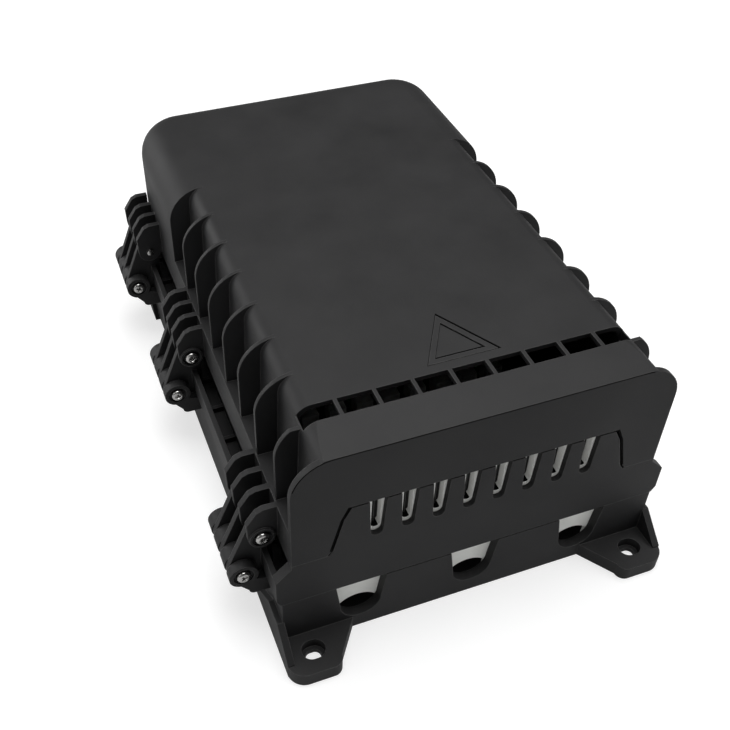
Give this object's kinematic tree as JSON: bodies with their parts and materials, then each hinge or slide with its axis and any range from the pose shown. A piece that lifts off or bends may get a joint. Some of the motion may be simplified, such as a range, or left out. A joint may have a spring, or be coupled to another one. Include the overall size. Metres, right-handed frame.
{
  "type": "fibre termination box",
  "caption": "Wall-mounted fibre termination box: base tray with fixing feet, swinging middle frame with cable slots, and a ribbed cover on interleaved side hinges.",
  "frame": {"origin": "centre of the four fixing slots, on the face that meets the wall", "axes": "+X across the box away from the hinges, +Y from the cable entry face to the far end, +Z away from the wall"},
  "size_m": [0.2274, 0.34, 0.1294],
  "materials": {
    "black_plastic": "fine matte moulded texture",
    "gasket_rubber": "soft matte",
    "seal_rubber": "soft matte, off-white",
    "steel": "bright zinc plated",
    "light_plastic": "satin",
    "green_plastic": "semi-gloss",
    "grey_plastic": "satin",
    "clear_plastic": "clear moulded plastic",
    "brass": "turned, dull"
  },
  "bodies": {
    "base_tray": {"base": "black_plastic", "base_gasket": "gasket_rubber", "feeder_port_seals": "seal_rubber", "lower_hinge_screws": "steel", "frame_latch_keepers": "steel", "base_rivets": "steel", "lower_splice_tray": "light_plastic", "upper_splice_tray": "light_plastic", "splice_tray_lid": "clear_plastic", "splice_holders": "grey_plastic", "tray_screws": "steel", "cable_clamps": "steel", "clamp_screws": "steel", "strength_member_posts": "brass", "post_screws": "steel", "earth_terminal": "brass", "earth_screws": "steel"},
    "swing_frame": {"middle_frame": "black_plastic", "cover_gasket": "gasket_rubber", "drop_slot_seal": "seal_rubber", "frame_latch_pins": "steel", "frame_latch_brackets": "steel", "cover_latch_keepers": "steel", "frame_rivets": "steel", "adapter_panel": "light_plastic", "adapters": "green_plastic", "adapter_dust_caps": "light_plastic", "panel_screws": "steel", "splitter_module": "grey_plastic", "fibre_spools": "light_plastic", "drop_cable_comb": "light_plastic", "comb_screws": "steel", "pass_through_grommet": "gasket_rubber"},
    "top_cover": {"cover": "black_plastic", "upper_hinge_screws": "steel", "cover_latch_pins": "steel", "cover_latch_brackets": "steel", "cover_rivets": "steel"},
    "cover_latch_front": {"front_cover_latch": "black_plastic"},
    "cover_latch_rear": {"rear_cover_latch": "black_plastic"},
    "frame_latch_front": {"front_frame_latch": "black_plastic"},
    "frame_latch_rear": {"rear_frame_latch": "black_plastic"}
  },
  "joints": [
    {"name": "frame_hinge", "type": "hinge", "parent": "base_tray", "child": "swing_frame", "pos_m": [-0.11, 0, 0.041], "axis": [0, -1, 0], "range_deg": [0, 95]},
    {"name": "cover_hinge", "type": "hinge", "parent": "swing_frame", "child": "top_cover", "pos_m": [-0.1, 0, 0.0655], "axis": [0, -1, 0], "range_deg": [0, 110]},
    {"name": "front_cover_latch_pivot", "type": "hinge", "parent": "top_cover", "child": "cover_latch_front", "pos_m": [0.10645, -0.103, 0.076], "axis": [0, -1, 0], "range_deg": [-3, 100]},
    {"name": "rear_cover_latch_pivot", "type": "hinge", "parent": "top_cover", "child": "cover_latch_rear", "pos_m": [0.10645, 0.103, 0.076], "axis": [0, -1, 0], "range_deg": [-3, 100]},
    {"name": "front_frame_latch_pivot", "type": "hinge", "parent": "swing_frame", "child": "frame_latch_front", "pos_m": [0.10595, -0.063, 0.048], "axis": [0, -1, 0], "range_deg": [-3, 100]},
    {"name": "rear_frame_latch_pivot", "type": "hinge", "parent": "swing_frame", "child": "frame_latch_rear", "pos_m": [0.10595, 0.063, 0.048], "axis": [0, -1, 0], "range_deg": [-3, 100]}
  ]
}
